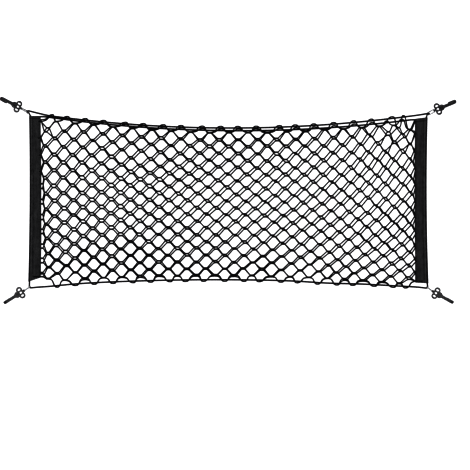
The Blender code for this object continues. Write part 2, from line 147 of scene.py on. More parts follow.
sky = bpy.data.worlds.new("sky")
sky.use_nodes = True
set_inputs(sky.node_tree.nodes["Background"], Color=(0.985, 0.99, 1.0, 1), Strength=SKY_STRENGTH)
scene.world = sky


def add_lamp(name, location, size, power):
    bpy.ops.object.light_add(type="AREA", location=location)
    lamp = bpy.context.object
    lamp.name = name
    lamp.data.shape = "DISK"
    lamp.data.size = size
    lamp.data.energy = power
    lamp.rotation_euler = Vector(location).to_track_quat("Z", "Y").to_euler()
    lamp.visible_camera = False


add_lamp("lamp_above", (0.0, 0.1, 3.0), TOP_LAMP_SIZE, TOP_LAMP_POWER)
add_lamp("lamp_left", (-1.9, 1.3, 2.3), SIDE_LAMP_SIZE, SIDE_LAMP_POWER)
add_lamp("lamp_right", (2.1, -0.6, 2.1), SIDE_LAMP_SIZE, 0.6 * SIDE_LAMP_POWER)

# %% [markdown]
# ## Shared effects as node groups
# Each is a shader node group, made once and placed in each material with its own values.

# %% A small kit for node groups
def new_group(name, outputs, *numbers):
    """A group that reads a Vector and these numbers, and puts out these values."""
    tree = bpy.data.node_groups.new(name, "ShaderNodeTree")
    tree.interface.new_socket(name="Vector", in_out="INPUT", socket_type="NodeSocketVector")
    sockets = [(label, "INPUT") for label in numbers]
    sockets += [(label, "OUTPUT") for label in outputs]
    for label, way in sockets:
        tree.interface.new_socket(name=label, in_out=way, socket_type="NodeSocketFloat")
    start = tree.nodes.new("NodeGroupInput")
    end = tree.nodes.new("NodeGroupOutput")
    return tree, start.outputs, end.inputs


def add_math(tree, operation, a, b=None, c=None):
    node = tree.nodes.new("ShaderNodeMath")
    node.operation = operation
    for socket, value in zip(node.inputs, (a, b, c)):
        if value is None:
            continue
        if isinstance(value, (int, float)):
            socket.default_value = value
        else:
            tree.links.new(value, socket)
    return node.outputs[0]


def split_vector(tree, vector):
    node = tree.nodes.new("ShaderNodeSeparateXYZ")
    tree.links.new(vector, node.inputs[0])
    return node.outputs


# %% The three groups
def make_thread_group(name, slanted, *counts):
    """A raised cell wherever two sets of threads cross, straight along U and V or slanted."""
    tree, given, wanted = new_group(name, ["Height"], *counts)
    uv = split_vector(tree, given["Vector"])
    a, b = [add_math(tree, "MULTIPLY", axis, given[count]) for axis, count in zip(uv, counts)]
    if slanted:
        a, b = add_math(tree, "ADD", a, b), add_math(tree, "SUBTRACT", a, b)
    angles = [add_math(tree, "MULTIPLY", turns, 2 * pi) for turns in (a, b)]
    product = add_math(tree, "MULTIPLY", *[add_math(tree, "SINE", angle) for angle in angles])
    tree.links.new(add_math(tree, "MULTIPLY_ADD", product, 0.5, 0.5), wanted["Height"])
    return tree


def make_fuzz_group():
    """Fine, uneven noise, and a slower drift of tone."""
    tree, given, wanted = new_group("fibre_fuzz", ["Fine", "Drift"], "Fine Scale", "Drift Scale")
    for label, detail in (("Fine", 2.0), ("Drift", 3.0)):
        noise = tree.nodes.new("ShaderNodeTexNoise")
        set_inputs(noise, Detail=detail)
        tree.links.new(given["Vector"], noise.inputs["Vector"])
        tree.links.new(given[label + " Scale"], noise.inputs["Scale"])
        tree.links.new(noise.outputs["Fac"], wanted[label])
    return tree


BRAID = make_thread_group("round_braid", True, "Cells Along", "Cells Round")
WEAVE = make_thread_group("plain_weave", False, "Waves Across", "Waves Along")
FUZZ = make_fuzz_group()
print("groups:", [tree.name for tree in (BRAID, WEAVE, FUZZ)])

# %% [markdown]
# ## A start for every material
# A material is a Principled shader whose colour runs between two tones and whose bump comes from
# one height. Black fibre in a white tent shows mostly its gloss, so the specular level is low.

# %% Helpers for materials
def add_group(tree, group, vector, **values):
    node = tree.nodes.new("ShaderNodeGroup")
    node.node_tree = group
    tree.links.new(vector, node.inputs["Vector"])
    set_inputs(node, **values)
    return node.outputs


def texture_place(tree, kind):
    return tree.nodes.new("ShaderNodeTexCoord").outputs[kind]


def dress(tree, shader, tone, dark, light, height, strength, distance):
    """Base Color runs from dark to light with the tone, and the height makes the bump."""
    ramp = tree.nodes.new("ShaderNodeMix")
    ramp.data_type = "RGBA"
    tree.links.new(tone, ramp.inputs["Factor"])
    set_inputs(ramp, A=(*dark, 1), B=(*light, 1))
    tree.links.new(ramp.outputs["Result"], shader.inputs["Base Color"])
    bump = tree.nodes.new("ShaderNodeBump")
    set_inputs(bump, Strength=strength, Distance=distance)
    tree.links.new(height, bump.inputs["Height"])
    tree.links.new(bump.outputs["Normal"], shader.inputs["Normal"])


# %% Fibre, cloth, steel and plastic
def make_braid_material(name, dark, light, cells_along, cells_round, roughness):
    """A braided cord: the cells between the threads are lower than the threads, and painted shade
    makes them darker.
    """
    material, tree, shader = new_material(name, Roughness=roughness, Specular_IOR_Level=0.12,
                                          Sheen_Weight=0.03, Sheen_Roughness=0.5)
    braid = add_group(tree, BRAID, texture_place(tree, "UV"),
                      Cells_Along=cells_along, Cells_Round=cells_round)
    fuzz = add_group(tree, FUZZ, texture_place(tree, "Object"), Fine_Scale=2600.0, Drift_Scale=26.0)
    # painted shade: the braid's low cells take the dark tone
    tone = add_math(tree, "MULTIPLY_ADD", braid["Height"], 0.6,
                    add_math(tree, "MULTIPLY", fuzz["Drift"], 0.4))
    height = add_math(tree, "MULTIPLY_ADD", fuzz["Fine"], 0.5, braid["Height"])
    dress(tree, shader, tone, dark, light, height, 0.5, 0.0002)
    return material


# Bands of painted light across the strip (U) and along it (V), in metres: painted shade darkens the
# fold's side, a painted highlight makes its crown paler, and painted shade darkens the hem's edge and
# the top hem's seam.
#   (axis, middle, reach, change of tone)
PAINTED_LIGHT_BANDS = ((0, 0.0278, 0.0052, -1.0), (0, 0.0334, 0.0018, 0.3), (0, 0.0548, 0.0022, -0.35),
               (1, 0.3745, 0.0022, -0.35))


def make_cloth_material(name, dark, light):
    """Plain-woven cloth with soft streaks along the weft: painted sheen of the creases it takes when
    it is folded.
    """
    material, tree, shader = new_material(name, Roughness=0.85, Specular_IOR_Level=0.12,
                                          Sheen_Weight=0.08, Sheen_Roughness=0.45)
    uv = texture_place(tree, "UV")
    weave = add_group(tree, WEAVE, uv, Waves_Across=750.0, Waves_Along=750.0)
    # the stretched noise makes the streaks: painted sheen along the creases
    stretch = tree.nodes.new("ShaderNodeMapping")
    set_inputs(stretch, Scale=(9.0, 1.0, 1.0))
    tree.links.new(uv, stretch.inputs["Vector"])
    fuzz = add_group(tree, FUZZ, stretch.outputs["Vector"], Fine_Scale=900.0, Drift_Scale=22.0)
    blotch = add_group(tree, FUZZ, uv, Fine_Scale=900.0, Drift_Scale=85.0)
    drift = add_math(tree, "ADD", fuzz["Drift"], blotch["Drift"])
    # painted shade: the weave's hollows between the threads take a darker tone
    tone = add_math(tree, "MULTIPLY_ADD", weave["Height"], 0.25,
                    add_math(tree, "MULTIPLY_ADD", drift, 0.6, -0.2))
    axes = split_vector(tree, uv)
    # each band adds painted shade or a painted highlight to the tone
    for axis, middle, reach, change in PAINTED_LIGHT_BANDS:
        far = add_math(tree, "ABSOLUTE", add_math(tree, "SUBTRACT", axes[axis], middle))
        near = add_math(tree, "MAXIMUM", add_math(tree, "MULTIPLY_ADD", far, -1 / reach, 1.0), 0.0)
        tone = add_math(tree, "MULTIPLY_ADD", near, change, tone)
    height = add_math(tree, "MULTIPLY_ADD", fuzz["Fine"], 0.35, weave["Height"])
    dress(tree, shader, tone, dark, light, height, 0.4, 0.00025)
    return material


def make_hard_material(name, dark, light, scales, duller_where, dulling, bump, **values):
    """Wire or moulded plastic: its tone drifts, its gloss is uneven and its grain is fine."""
    material, tree, shader = new_material(name, **values)
    fuzz = add_group(tree, FUZZ, texture_place(tree, "Object"),
                     Fine_Scale=scales[0], Drift_Scale=scales[1])
    roughness = add_math(tree, "MULTIPLY_ADD", fuzz[duller_where], *dulling)
    tree.links.new(roughness, shader.inputs["Roughness"])
    dress(tree, shader, fuzz["Drift"], dark, light, fuzz["Fine"], *bump)
    return material


YARN = make_braid_material("net_yarn", (0.006, 0.006, 0.007), (0.024, 0.024, 0.026), 420, 4, 0.8)
CORD = make_braid_material("elastic_cord", (0.006, 0.006, 0.007), (0.026, 0.026, 0.028), 330, 5, 0.75)
THREAD = make_braid_material("tie_thread", (0.008, 0.008, 0.009), (0.030, 0.030, 0.032), 900, 2, 0.8)
CLOTH = make_cloth_material("sleeve_cloth", (0.011, 0.011, 0.012), (0.091, 0.091, 0.093))
STEEL = make_hard_material("clip_steel", (0.16, 0.16, 0.165), (0.30, 0.30, 0.305),
                           (4200.0, 160.0), "Fine", (0.2, 0.22), (0.1, 0.00005), Metallic=1.0)
PLASTIC = make_hard_material("hook_plastic", (0.010, 0.010, 0.011), (0.032, 0.032, 0.034),
                             (3600.0, 110.0), "Drift", (0.25, 0.30), (0.25, 0.00008))
print("materials:", [m.name for m in (YARN, CORD, THREAD, CLOTH, STEEL, PLASTIC)])

# %% [markdown]
# ## Working with Blender's operators
# An operator acts on all that is selected, so each helper first selects its own object alone.

# %% Helpers for operators
def select_only(obj):
    bpy.ops.object.select_all(action="DESELECT")
    obj.select_set(True)
    bpy.context.view_layer.objects.active = obj


def apply_modifiers(obj):
    select_only(obj)
    for modifier in list(obj.modifiers):
        bpy.ops.object.modifier_apply(modifier=modifier.name)


def settle(obj):
    """Put the object at the origin, unturned, with its place in its mesh."""
    select_only(obj)
    bpy.ops.object.transform_apply(location=True, rotation=True, scale=True)


def make_mesh(obj):
    select_only(obj)
    bpy.ops.object.convert(target="MESH")
    return bpy.context.object


def recalculate_normals(obj, merge=None):
    """Turn the faces outwards, once points closer than `merge` metres are one."""
    select_only(obj)
    bpy.ops.object.mode_set(mode="EDIT")
    bpy.ops.mesh.select_all(action="SELECT")
    if merge:
        bpy.ops.mesh.remove_doubles(threshold=merge)
    bpy.ops.mesh.normals_make_consistent(inside=False)
    bpy.ops.object.mode_set(mode="OBJECT")


def triangles(obj):
    return sum(len(face.vertices) - 2 for face in obj.data.polygons)


# %% [markdown]
# ## Tubes with their own UV map
# Yarn, cord and thread are tubes, each made by a curve with a bevel. Its mesh keeps the rings in
# order, so the UV map is written ring by ring: U is the length along the tube in metres and V goes
# from 0 to 1 round it. The braid then follows every bend.

# %% Tubes
def new_curve(name, dimensions, bevel, resolution, routes, cyclic):
    """A curve object with straight runs between the points of each route, in metres."""
    curve = bpy.data.curves.new(name, "CURVE")
    curve.dimensions = dimensions
    curve.bevel_depth = bevel
    curve.bevel_resolution = resolution
    for route in routes:
        spline = curve.splines.new("POLY")
        spline.points.add(len(route) - 1)
        for point, co in zip(spline.points, route):
            point.co = (*co, 1)
        spline.use_cyclic_u = cyclic
    obj = bpy.data.objects.new(name, curve)
    scene.collection.objects.link(obj)
    return obj


def route_length(route):
    return sum((b - a).length for a, b in zip(route, route[1:]))


def tube_map(obj, routes, sides, cyclic):
    uv = obj.data.uv_layers.active
    ring_places = []  # for each ring, its tube's running lengths and its place in them
    for route in routes:
        along = [0.0]
        for a, b in zip(route, route[1:] + route[:1]):
            along.append(along[-1] + (b - a).length)
        ring_places += [(along, step) for step in range(len(route))]
    for face in obj.data.polygons:
        rings = [v // sides for v in face.vertices]
        corners = [v % sides for v in face.vertices]
        wraps_ring = cyclic and max(rings) - min(rings) > 1
        wraps_side = max(corners) - min(corners) > 1
        for loop, ring, corner in zip(face.loop_indices, rings, corners):
            along, step = ring_places[ring]
            if wraps_ring and step == 0:
                step = len(along) - 1
            around = sides if wraps_side and corner == 0 else corner
            uv.data[loop].uv = (along[step], around / sides)


def make_tubes(name, routes, radius, resolution, material, cyclic=False):
    """One mesh of round tubes along the routes, closed at their ends."""
    tubes = make_mesh(new_curve(name, "3D", radius, resolution, routes, cyclic))
    tube_map(tubes, routes, 4 + 2 * resolution, cyclic)
    if not cyclic:
        bpy.ops.object.mode_set(mode="EDIT")
        bpy.ops.mesh.select_all(action="DESELECT")
        bpy.ops.mesh.select_non_manifold()
        bpy.ops.mesh.edge_face_add()
        bpy.ops.object.mode_set(mode="OBJECT")
    tubes.data.materials.append(material)
    print(name, "has", triangles(tubes), "triangles")
    return tubes


def smooth_route(points, spacing, cyclic=False):
    """A Catmull-Rom curve through the points (mm), with a point about every spacing."""
    if cyclic:
        points = [points[-1]] + points + points[:2]
    else:
        points = [2 * points[0] - points[1]] + points + [2 * points[-1] - points[-2]]
    route = []
    for p0, p1, p2, p3 in zip(points, points[1:], points[2:], points[3:]):
        steps = max(1, round((p2 - p1).length / spacing))
        route += interpolate_bezier(p1, p1 + (p2 - p0) / 6, p2 - (p3 - p1) / 6, p2, steps + 1)[:-1]
    if not cyclic:
        route.append(points[-2].copy())
    return route


def to_frame(route):
    return [place(*point) for point in route]


def arc(centre, radius, start, end, steps):
    angles = [radians(start + (end - start) * k / steps) for k in range(steps + 1)]
    return [(centre[0] + radius * cos(a), centre[1] + radius * sin(a)) for a in angles]


# %% [markdown]
# ## Where the mesh lies
# The mesh is a lattice of joints, 41 half meshes long and 23 across. It is wider at its ends, so a
# table says where the top, middle and bottom rows lie at five stations, as for the solids. A
# second one says how far the front layer has slipped from the rear one, and a third where the
# hands that laid the net out have bunched it.

# %% The lattice
HALF_COLUMNS = 41
HALF_ROWS = 23
FIRST_COLUMN = -20
LAST_COLUMN = FIRST_COLUMN + HALF_COLUMNS
#   u,   x_top, x_mid, x_low, y_top, y_mid, y_low
LATTICE_STATIONS = (
    (-1.0, -440, -441, -427, 203, -13, -203),
    (-0.5, -213, -219, -217, 180, -7, -191),
    (0.0, 16, 8, 3, 169, -10, -188),
    (0.5, 237, 232, 222, 178, -16, -194),
    (1.0, 440, 441, 431, 198, -31, -208),
)
#   u,  dx_top, dx_mid, dx_low, dy_top, dy_mid, dy_low
LAYER_SHIFT_STATIONS = (
    (-1.0, 1.0, 1.7, 1.0, -3.0, -5.4, -2.0),
    (-0.5, 1.5, 2.5, -0.5, -4.0, -7.0, -1.5),
    (0.0, -0.5, 4.3, -1.0, -4.7, -5.0, -2.0),
    (0.5, 2.5, 4.7, 1.0, -5.5, -5.3, -1.2),
    (1.0, 4.5, 6.5, 2.0, -7.0, -6.5, -4.0),
)
# Where the mesh is bunched: (x, y, reach along x, reach along y, dx, dy), in mm.
TUCKS = (
    (-400, 200, 75, 24, 4.5, 0.0),
    (45, 165, 110, 38, -2.6, 0.0),
    (300, 180, 85, 40, 3.6, 0.0),
    (-150, 90, 80, 35, 0.0, -2.6),
    (80, 130, 70, 22, 0.0, 2.0),
    (-330, 75, 60, 45, -2.0, 0.6),
    (-265, -60, 60, 50, 0.0, 1.8),
    (-432, -192, 40, 22, -7.0, 0.0),
    (60, -165, 60, 35, -2.0, 0.0),
    (295, -172, 55, 35, -2.6, 0.0),
    (436, -195, 26, 30, 4.0, 0.0),
    (392, 92, 45, 62, -3.2, 0.0),
)
# Joints that were pulled well out of line: (column, row): rear x, rear y, front x, front y.
MOVED_JOINTS = {
    (-19, 2): (-419.6, 157.1, -413.2, 166.1),
    (18, 1): (392.5, 166.5, 379.2, 171.8),
    (20, 1): (419.4, 160.3, 416.7, 162.6),
    (17, 2): (368.2, 149.3, 369.5, 157.1),
    (19, 2): (406.3, 144.0, 401.0, 152.3),
    (18, 3): (382.6, 130.5, 381.3, 135.8),
    (20, 3): (417.9, 128.0, 418.5, 130.5),
    (-19, 22): (-414.3, -179.3, -414.0, -180.5),
    (-17, 22): (-375.3, -183.7, -375.0, -183.0),
}
# Where the loops lie along the edge cord, from left to right, on the top and the bottom run.
TOP_LOOPS = (
    -402, -368, -327, -285, -235, -195, -148, -108, -59, -17,
    22, 63, 120, 154, 196, 242, 289, 329, 378, 402,
)
LOW_LOOPS = (
    -392, -350, -307, -264, -217, -177, -133, -99, -57, -8,
    38, 71, 122, 158, 205, 250, 285, 336, 380, 408,
)
# Loops of the mouth cord that don't lie near the edge cord's, by column.
MOUTH_LOOPS = {17: 364.0, 19: 399.0}


def read_stations(stations, u, v):
    columns = [through([row[c] for row in stations], u) for c in range(1, 7)]
    return through(columns[:3], v), through(columns[3:], v)


def lattice_place(column, row, layer):
    u = 2 * (column - FIRST_COLUMN) / HALF_COLUMNS - 1
    v = 2 * row / HALF_ROWS - 1
    x, y = read_stations(LATTICE_STATIONS, u, v)
    for tuck_x, tuck_y, reach_x, reach_y, slip_x, slip_y in TUCKS:
        share = exp(-((x - tuck_x) / reach_x) ** 2 - ((y - tuck_y) / reach_y) ** 2)
        x += slip_x * share
        y += slip_y * share
    dx, dy = read_stations(LAYER_SHIFT_STATIONS, u, v)
    side = 0.5 if layer == "front" else -0.5
    return x + side * dx, y + side * dy


print("a mesh is about", round(lattice_place(2, 11, "rear")[0] - lattice_place(0, 11, "rear")[0]),
      "mm wide")

# %% [markdown]
# ## The cords' lines and the sleeves' edges
# The edge cord sags a little between its corners. The mouth cord lies just below its top run,
# and goes into the sleeves' top hems.

# %% Lines of the edges
TOP_MIDDLE_Y, TOP_RISE, TOP_TILT = 165.9, 33.4, -1.1
TOP_LEFT_LIFT = 2.4
BOTTOM_MIDDLE_Y, BOTTOM_DROP, BOTTOM_TILT = -182.5, 18.0, 2.0
BOTTOM_SAGS = ((230, 2.2), (-425, 2.6), (445, -1.4))  # (x of the deepest point, depth)
SAG_REACH = 60.0
MOUTH_DROP, MOUTH_DROP_TILT = 6.3, 2.8
# Fold and inner edge of each sleeve at its top, middle and bottom, and its four corners.
SLEEVE_EDGES = {
    -1: ((-456.8, -455.6, -458.8), (-430.5, -428.6, -429.6)),
    1: ((458.6, 456.4, 460.6), (429.2, 428.8, 430.0)),
}
#   side: (y_top_fold, y_top_inner, y_bottom_fold, y_bottom_inner)
SLEEVE_ENDS = {-1: (193.8, 193.8, -187.2, -177.5), 1: (190.8, 187.2, -191.0, -189.3)}


def top_sag_y(x):
    t = x / HALF_SPAN
    return TOP_MIDDLE_Y + TOP_TILT * t + TOP_RISE * t * t


def edge_top_y(x):
    return top_sag_y(x) + TOP_LEFT_LIFT * ease(-x, 408, 432)


def edge_bottom_y(x):
    t = x / HALF_SPAN
    y = BOTTOM_MIDDLE_Y - BOTTOM_TILT * t - BOTTOM_DROP * t * t
    for sag_x, depth in BOTTOM_SAGS:
        y -= depth * exp(-((x - sag_x) / SAG_REACH) ** 2)
    return y


def mouth_y(x):
    return top_sag_y(x) - MOUTH_DROP - MOUTH_DROP_TILT * x / HALF_SPAN


def sleeve_place(side, across, along):
    """A point of the sleeve: across is 1 at the inner edge, and along is 1 at the top."""
    fold, inner = SLEEVE_EDGES[side]
    top_fold, top_inner, low_fold, low_inner = SLEEVE_ENDS[side]
    x = through(fold, 1 - 2 * along) * (1 - across) + through(inner, 1 - 2 * along) * across
    top = top_fold + (top_inner - top_fold) * across
    low = low_fold + (low_inner - low_fold) * across
    return x, low + (top - low) * along


def sleeve_inner_x(side, y):
    _, top, _, low = SLEEVE_ENDS[side]
    return sleeve_place(side, 1, (y - low) / (top - low))[0]


# %% [markdown]
# ## The yarn and its heights
# The rear layer lies on the floor and the front layer on top of it. Each is 3 mm yarn. The
# edge cord rests on the yarn that passes under it, and the mouth cord on the front layer's.

# %% Yarn, cords and their heights
YARN_RADIUS = 1.52
CORD_RADIUS = 1.9
LAYER_Z = {"rear": 1.95, "front": 5.8}
SLEEVE_LAYER_Z = {"rear": 2.4, "front": 4.9}
EDGE_CORD_Z, MOUTH_CORD_Z = 5.0, 8.4
CORD_GRIP = YARN_RADIUS + CORD_RADIUS
LOOP_SLACK = 0.4  # of a loop above its cord
JOINT_HALF = 0.5  # of the strands' distance in a joint, seen from above
JOINT_LIFT = 2.1  # of the upper strand in a joint
YARN_END_X = 447.0  # the yarn ends inside the sleeve
FIRST_SHOWN_ROW = 8  # from here down, the left end's joints show
SHOWN_JOINT_SHIFT = {"rear": 4.0, "front": -1.5}  # of those joints, so that both layers show
KNOT_WANDER = 1.1  # how far a joint lies from its place, at most
LEVEL_START, LEVEL_END = 408.0, 428.0  # where layers and cords reach their sleeve height
LEVEL_AT_SLEEVE = 4.0  # of a strand beside its first and last joint
LOOP_REACH = 7.0  # of a loop's arch to each side of its top
ROW_ONE_DROP = 5.0  # joints of row 1 hang this far below the mouth cord
ROW_ONE_DROP_ENDS = 7.4


def loop_x(column, row, layer):
    if row == HALF_ROWS:
        return LOW_LOOPS[(column - FIRST_COLUMN - 2) // 2]
    if layer == "front" and column in MOUTH_LOOPS:
        return MOUTH_LOOPS[column]
    return TOP_LOOPS[(column - FIRST_COLUMN - 1) // 2] + (2.5 if layer == "front" else 0.0)


def end_joint(column, row, y, layer, rng):
    """A joint at a sleeve: most lie hidden in it, and the lower ones on the left just show."""
    side = -1 if column < 0 else 1
    _, top, _, low = SLEEVE_ENDS[side]
    y = min(max(y, low + 3.5), top - 4.0)
    shown = -rng.uniform(1.0, 4.0)
    if side < 0 and row >= FIRST_SHOWN_ROW:
        shown = rng.uniform(2.0, 3.4)
        y += SHOWN_JOINT_SHIFT[layer]
    return Vector((sleeve_inner_x(side, y) - side * shown, y))


def knot_table(layer, rng):
    """The middle of every joint of one layer, by column and row, with a little unevenness."""
    knots = {}
    for row in range(HALF_ROWS + 1):
        for column in range(FIRST_COLUMN, LAST_COLUMN + 1):
            if (column + row) % 2 == 0:
                continue
            x, y = lattice_place(column, row, layer)
            x += rng.uniform(-KNOT_WANDER, KNOT_WANDER)
            y += rng.uniform(-KNOT_WANDER, KNOT_WANDER)
            if column in (FIRST_COLUMN, LAST_COLUMN):
                knots[column, row] = end_joint(column, row, y, layer, rng)
                continue
            if (column, row) in MOVED_JOINTS:
                moved = MOVED_JOINTS[column, row]
                x, y = moved[:2] if layer == "rear" else moved[2:]
            elif row in (0, HALF_ROWS):
                x = loop_x(column, row, layer) + rng.uniform(-0.8, 0.8)
            if row == 0:
                y = (edge_top_y(x) if layer == "rear" else mouth_y(x)) + CORD_GRIP + LOOP_SLACK
            elif row == HALF_ROWS:
                y = edge_bottom_y(x) - CORD_GRIP - LOOP_SLACK
            elif row == 1 and (column, row) not in MOVED_JOINTS:
                y = mouth_y(x) - ROW_ONE_DROP - ROW_ONE_DROP_ENDS * (x / HALF_SPAN) ** 8
                y += rng.uniform(-1.0, 0.6) + (0.8 if layer == "rear" else 0.0)
            knots[column, row] = Vector((x, y))
    return knots


KNOTS = {layer: knot_table(layer, random.Random(seed)) for layer, seed in (("rear", 3), ("front", 8))}
print("joints in a layer:", len(KNOTS["rear"]))

# %% [markdown]
# ## A strand of yarn
# Each strand zigzags from sleeve to sleeve between two rows of joints. At a joint it lies level
# on or under the next strand, and then turns off. The slope along a stretch is a trapezoid, and
# `stretch_share` is its running total. Where a strand goes round a cord instead, it climbs slowly
# from the joint, then steeply, and makes an arch over the cord.

# %% The shape of one stretch
FLAT_AT_KNOT = 0.10  # level share of a stretch beside a joint
BEND_SHARE = 0.18
#   share of the way from joint to loop top, share of the climb
LOOP_SHAPE = (
    (0.0, 0.0), (0.12, 0.01), (0.26, 0.05), (0.38, 0.12), (0.46, 0.21), (0.53, 0.35), (0.59, 0.52),
    (0.65, 0.69), (0.71, 0.82), (0.78, 0.92), (0.86, 0.98), (1.0, 1.0),
)


def bend_total(t):
    if t <= 0:
        return 0.0
    if t < BEND_SHARE:
        return t * t / (2 * BEND_SHARE)
    return t - BEND_SHARE / 2


def stretch_share(t):
    """How far down its drop a stretch between two joints has come at t."""
    fall = 1 - FLAT_AT_KNOT - BEND_SHARE
    total = bend_total(1 - FLAT_AT_KNOT) - bend_total(1 - fall)
    return (bend_total(t - FLAT_AT_KNOT) - bend_total(t - fall)) / total


def stretch_shape(starts_at_cord, ends_at_cord):
    """(share along, share of the drop) at each point of a stretch."""
    if ends_at_cord:
        return LOOP_SHAPE[:-1]
    if starts_at_cord:
        return [(1 - along, 1 - climb) for along, climb in reversed(LOOP_SHAPE)][:-1]
    rise = [FLAT_AT_KNOT + BEND_SHARE * k / 3 for k in range(4)]
    stations = [0.0] + rise + [1 - t for t in reversed(rise)]
    return [(t, stretch_share(t)) for t in stations]


# %% Strands
def layer_height(x, layer):
    share = ease(abs(x), LEVEL_START, LEVEL_END)
    return LAYER_Z[layer] + (SLEEVE_LAYER_Z[layer] - LAYER_Z[layer]) * share


def loop_height(offset, layer, row):
    """Height of a loop round a cord at this distance from its top: under, beside, then over."""
    cord_z = MOUTH_CORD_Z if layer == "front" and row == 0 else EDGE_CORD_Z
    reach = LOOP_REACH * (1 if (row == 0) == (layer == "rear") else -1)
    return cord_z - CORD_GRIP + 2 * CORD_GRIP * ease(offset / reach, -1.0, 1.0)


def strand_stops(number, knots):
    """Where a strand comes to each joint or cord: x, y, its lift, its row, and if it is a cord."""
    stops = []
    for column in range(FIRST_COLUMN, LAST_COLUMN + 1):
        row = number if (column + number) % 2 else number + 1
        knot = knots[column, row]
        at_cord = row in (0, HALF_ROWS) and FIRST_COLUMN < column < LAST_COLUMN
        above = row > number
        shift = 0.0 if at_cord else JOINT_HALF * (1 if above else -1)
        lift = JOINT_LIFT if above and not at_cord else 0.0
        stops.append((knot.x, knot.y + shift, lift, row, at_cord))
    return stops


def strand_route(number, layer, knots, rng):
    """The points of one strand, in mm, from inside the left sleeve to inside the right one."""
    def level(x, y):
        return Vector((x, y, layer_height(x, layer)))

    stops = strand_stops(number, knots)
    x, y = stops[0][:2]
    route = [level(-YARN_END_X, y), level(x - LEVEL_AT_SLEEVE, y)]
    for (x0, y0, lift0, row0, cord0), (x1, y1, lift1, row1, cord1) in zip(stops, stops[1:]):
        bow = rng.uniform(-0.5, 0.5)
        for t, drop in stretch_shape(cord0, cord1):
            x = x0 + (x1 - x0) * t
            y = y0 + (y1 - y0) * drop + bow * sin(pi * t) ** 2
            z = layer_height(x, layer) + lift0 * (1 - ease(t, 0.1, 0.5))
            z += lift1 * ease(t, 0.5, 0.9)
            if cord0:
                z += (loop_height(x - x0, layer, row0) - z) * (1 - ease(t, 0.5, 0.9))
            if cord1:
                z += (loop_height(x - x1, layer, row1) - z) * ease(t, 0.1, 0.5)
            route.append(Vector((x, y, z)))
    x, y = stops[-1][:2]
    return route + [level(x, y), level(x + LEVEL_AT_SLEEVE, y), level(YARN_END_X, y)]


def make_layer(layer, seed):
    rng = random.Random(seed)
    routes = [to_frame(strand_route(k, layer, KNOTS[layer], rng)) for k in range(HALF_ROWS)]
    print(layer, "layer:", round(sum(route_length(route) for route in routes), 1), "m of yarn")
    return make_tubes("net_" + layer + "_yarn", routes, YARN_RADIUS * MM, 2, YARN)


nets = {layer: make_layer(layer, seed) for layer, seed in (("rear", 21), ("front", 34))}

# %% [markdown]
# ## Ties at the joints
# At each joint thin thread binds the two strands. One turn is a flat oval round both, with few
# faces, because there are hundreds of them.

# %% Ties
TIE_RADIUS = 0.25
TIE_OFFSETS = (-1.7, 1.7)  # along the joint, from its middle
TIE_CORNERS = 4  # points in each half of the oval


def tie_route(centre, rng):
    """An oval round two strands, one on the other's shoulder, leaning a little."""
    lean = rng.uniform(-0.4, 0.4)
    apart = Vector((0, JOINT_HALF, JOINT_LIFT / 2))
    across = Vector((0, -apart.z, apart.y)).normalized()
    grip = YARN_RADIUS + 0.1
    route = []
    for side in (1, -1):
        for k in range(TIE_CORNERS):
            angle = radians(-90 + 180 * k / (TIE_CORNERS - 1))
            outward = apart + grip * cos(angle) * apart.normalized()
            point = side * (outward + grip * sin(angle) * across)
            route.append(centre + point + Vector((lean * side, 0, 0)))
    return route


def make_ties(layer, seed):
    rng = random.Random(seed)
    routes = []
    for (column, row), knot in KNOTS[layer].items():
        if column in (FIRST_COLUMN, LAST_COLUMN) or row in (0, HALF_ROWS):
            continue
        z = layer_height(knot.x, layer) + JOINT_LIFT / 2
        for offset in TIE_OFFSETS:
            centre = Vector((knot.x + offset + rng.uniform(-0.4, 0.4), knot.y, z))
            routes.append(to_frame(tie_route(centre, rng)))
    print(layer, "layer:", len(routes), "turns of thread")
    return make_tubes("net_" + layer + "_ties", routes, TIE_RADIUS * MM, 0, THREAD, cyclic=True)


ties = {layer: make_ties(layer, seed) for layer, seed in (("rear", 5), ("front", 13))}

# %% [markdown]
# ## The wire clips
# Each clip is an oblong of bent wire whose ends meet in the middle of a long side. One end bar
# goes through the hook's boss, and the other lies in a turn of the edge cord.

# %% Where the clips and hooks are
HOOK_TILT = 15.2  # degrees: the bend stands off the floor on its turned-back leg
CLIP_HALF_WIDTH = 3.4
CLIP_LENGTH = 17.2
CLIP_CORNER = 1.6
CLIP_SEAM = 0.15  # half the step between the wire's two ends
CLIP_Z = 4.85
WIRE_RADIUS = 1.1
#   name: (x, y, clip_yaw, hook_yaw, clip_roll, hook_roll, hook_z)
CORNERS = {
    "upper_left": (-474.7, 210.7, 152.6, 152.3, 25, 12, 4.5),
    "upper_right": (474.0, 206.2, 29.5, 21.8, 65, 12, 4.5),
    "lower_left": (-468.5, -207.6, 212.6, 212.7, 5, -3, 4.6),
    "lower_right": (470.1, -209.1, -36.0, -29.8, 5, 4, 4.6),
}


def clip_frame(corner):
    """The clip's bar in the cord, its bar in the hook, and its length, width and normal."""
    x, y, clip_yaw, _, clip_roll, _, hook_z = CORNERS[corner]
    angle = radians(clip_yaw)
    length = Vector((cos(angle), sin(angle), 0))
    across = Vector((-length.y, length.x, 0))
    if across.x * x > 0:
        across = -across
    turn = radians(clip_roll)
    up = Vector((0, 0, 1))
    width = up * cos(turn) - across * sin(turn)
    normal = -across * cos(turn) - up * sin(turn)
    cord_bar = Vector((x, y, 0)) - length * CLIP_LENGTH
    cord_bar.z = CLIP_Z
    return cord_bar, Vector((x, y, hook_z)), length, width, normal


